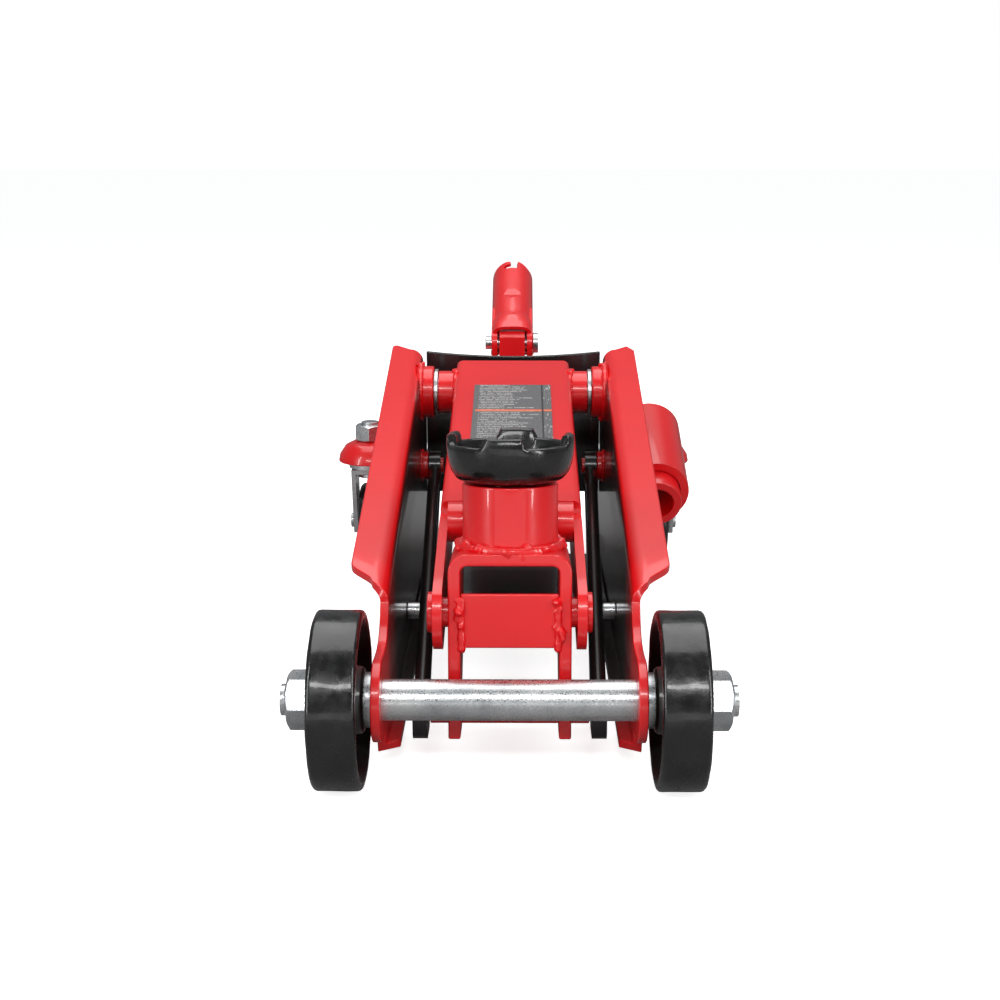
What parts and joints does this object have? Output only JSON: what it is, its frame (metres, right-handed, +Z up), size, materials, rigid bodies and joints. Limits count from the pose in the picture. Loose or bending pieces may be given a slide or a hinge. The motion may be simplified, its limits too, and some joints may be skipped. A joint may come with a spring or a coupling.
{
  "type": "hydraulic trolley jack",
  "caption": "Low hydraulic floor jack with folded red side plates, a hinged lift arm, a self-levelling saddle, cast front wheels, rear casters and a pump handle socket.",
  "frame": {"origin": "middle of the footprint, on the floor", "axes": "+X to the side with the stowage tube, +Y rearwards towards the handle socket, +Z up"},
  "size_m": [0.24, 0.5364, 0.197],
  "materials": {
    "red_paint": "gloss",
    "black_paint": "gloss",
    "cast_black": "rough gloss",
    "zinc_plate": "satin",
    "chrome_plate": "polished",
    "label_print": "satin",
    "plug_rubber": "matt"
  },
  "bodies": {
    "chassis": {"side_plate_left": "red_paint", "side_plate_right": "red_paint", "front_axle": "zinc_plate", "wheel_washer_left": "zinc_plate", "wheel_washer_right": "zinc_plate", "axle_nut_left": "zinc_plate", "axle_nut_right": "zinc_plate", "pivot_shaft": "zinc_plate", "pivot_washer_left": "zinc_plate", "pivot_washer_right": "zinc_plate", "pivot_collar_left": "red_paint", "pivot_collar_right": "red_paint", "pivot_nut_left": "zinc_plate", "pivot_nut_right": "zinc_plate", "rod_anchor_left": "red_paint", "rod_anchor_right": "red_paint", "frame_bolt_left": "zinc_plate", "frame_bolt_right": "zinc_plate", "rear_cross_plate": "black_paint", "bottom_tie_plate": "black_paint", "cross_shaft": "zinc_plate", "pump_block": "red_paint", "reservoir": "black_paint", "gland_nut": "zinc_plate", "filler_plug": "plug_rubber", "socket_pin": "zinc_plate", "caster_ear_left": "red_paint", "caster_ear_right": "red_paint", "caster_bolt_left": "zinc_plate", "caster_bolt_right": "zinc_plate", "caster_nut_left": "zinc_plate", "caster_nut_right": "zinc_plate", "stowage_sleeve": "red_paint", "stowage_liner": "red_paint"},
    "front_wheel_left": {"front_wheel_left": "cast_black"},
    "front_wheel_right": {"front_wheel_right": "cast_black"},
    "lift_arm": {"lift_arm": "red_paint", "arm_cross_tube": "red_paint", "drive_roller_pin": "zinc_plate", "front_pin": "red_paint", "arm_label": "label_print"},
    "drive_roller": {"drive_roller": "zinc_plate"},
    "saddle_bracket": {"saddle_bracket": "red_paint", "bracket_front_plate": "red_paint", "lower_pin": "red_paint", "saddle_post": "red_paint"},
    "saddle": {"saddle": "cast_black"},
    "parallel_rod_left": {"parallel_rod_left": "black_paint"},
    "parallel_rod_right": {"parallel_rod_right": "black_paint"},
    "ram": {"ram": "chrome_plate"},
    "handle_socket": {"handle_socket": "red_paint", "pump_roller": "zinc_plate"},
    "pump_plunger": {"pump_plunger": "chrome_plate"},
    "release_valve": {"release_valve": "zinc_plate"},
    "caster_fork_left": {"caster_fork_left": "zinc_plate", "caster_axle_left": "zinc_plate"},
    "caster_fork_right": {"caster_fork_right": "zinc_plate", "caster_axle_right": "zinc_plate"},
    "caster_wheel_left": {"caster_wheel_left": "cast_black"},
    "caster_wheel_right": {"caster_wheel_right": "cast_black"}
  },
  "joints": [
    {"name": "front_wheel_left_spin", "type": "hinge", "parent": "chassis", "child": "front_wheel_left", "pos_m": [0, -0.22769, 0.0405], "axis": [1, 0, 0], "continuous": true},
    {"name": "front_wheel_right_spin", "type": "hinge", "parent": "chassis", "child": "front_wheel_right", "pos_m": [0, -0.22769, 0.0405], "axis": [1, 0, 0], "continuous": true},
    {"name": "lift", "type": "hinge", "parent": "chassis", "child": "lift_arm", "pos_m": [0, 0.06831, 0.1315], "axis": [-1, 0, 0], "range_deg": [0, 45]},
    {"name": "drive_roller_spin", "type": "hinge", "parent": "lift_arm", "child": "drive_roller", "pos_m": [0, 0.08744, 0.08531], "axis": [1, 0, 0], "continuous": true},
    {"name": "bracket_level", "type": "hinge", "parent": "lift_arm", "child": "saddle_bracket", "pos_m": [0, -0.19669, 0.072], "axis": [-1, 0, 0], "range_deg": [-45, 0]},
    {"name": "saddle_swivel", "type": "hinge", "parent": "saddle_bracket", "child": "saddle", "pos_m": [0, -0.17561, 0.12924], "axis": [0, 0.0958, 0.9954], "continuous": true},
    {"name": "parallel_rod_left_swing", "type": "hinge", "parent": "chassis", "child": "parallel_rod_left", "pos_m": [0, 0.06131, 0.086], "axis": [-1, 0, 0], "range_deg": [0, 45]},
    {"name": "parallel_rod_right_swing", "type": "hinge", "parent": "chassis", "child": "parallel_rod_right", "pos_m": [0, 0.06131, 0.086], "axis": [-1, 0, 0], "range_deg": [0, 45]},
    {"name": "ram_slide", "type": "slide", "parent": "chassis", "child": "ram", "axis": [0, -1, 0], "range_m": [0, 0.0383]},
    {"name": "handle_pump", "type": "hinge", "parent": "chassis", "child": "handle_socket", "pos_m": [-0.001, 0.18231, 0.147], "axis": [1, 0, 0], "range_deg": [0, 60]},
    {"name": "plunger_slide", "type": "slide", "parent": "chassis", "child": "pump_plunger", "axis": [0, 0, 1], "range_m": [0, 0.0161]},
    {"name": "release_turn", "type": "hinge", "parent": "chassis", "child": "release_valve", "pos_m": [0.015, 0.20661, 0.102], "axis": [0, 1, 0], "range_deg": [0, 180]},
    {"name": "caster_left_swivel", "type": "hinge", "parent": "chassis", "child": "caster_fork_left", "pos_m": [-0.098, 0.15231, 0.05], "axis": [0, 0, 1], "continuous": true},
    {"name": "caster_wheel_left_spin", "type": "hinge", "parent": "caster_fork_left", "child": "caster_wheel_left", "pos_m": [-0.098, 0.15831, 0.026], "axis": [1, 0, 0], "continuous": true},
    {"name": "caster_right_swivel", "type": "hinge", "parent": "chassis", "child": "caster_fork_right", "pos_m": [0.098, 0.15231, 0.05], "axis": [0, 0, 1], "continuous": true},
    {"name": "caster_wheel_right_spin", "type": "hinge", "parent": "caster_fork_right", "child": "caster_wheel_right", "pos_m": [0.098, 0.15831, 0.026], "axis": [1, 0, 0], "continuous": true}
  ],
  "couplings": [
    {"joint": "bracket_level", "follows": "lift", "ratio": -1},
    {"joint": "parallel_rod_left_swing", "follows": "lift", "ratio": 1},
    {"joint": "parallel_rod_right_swing", "follows": "lift", "ratio": 1},
    {"joint": "ram_slide", "follows": "lift", "m_per_rad": 0.04873},
    {"joint": "plunger_slide", "follows": "handle_pump", "m_per_rad": 0.01528}
  ]
}
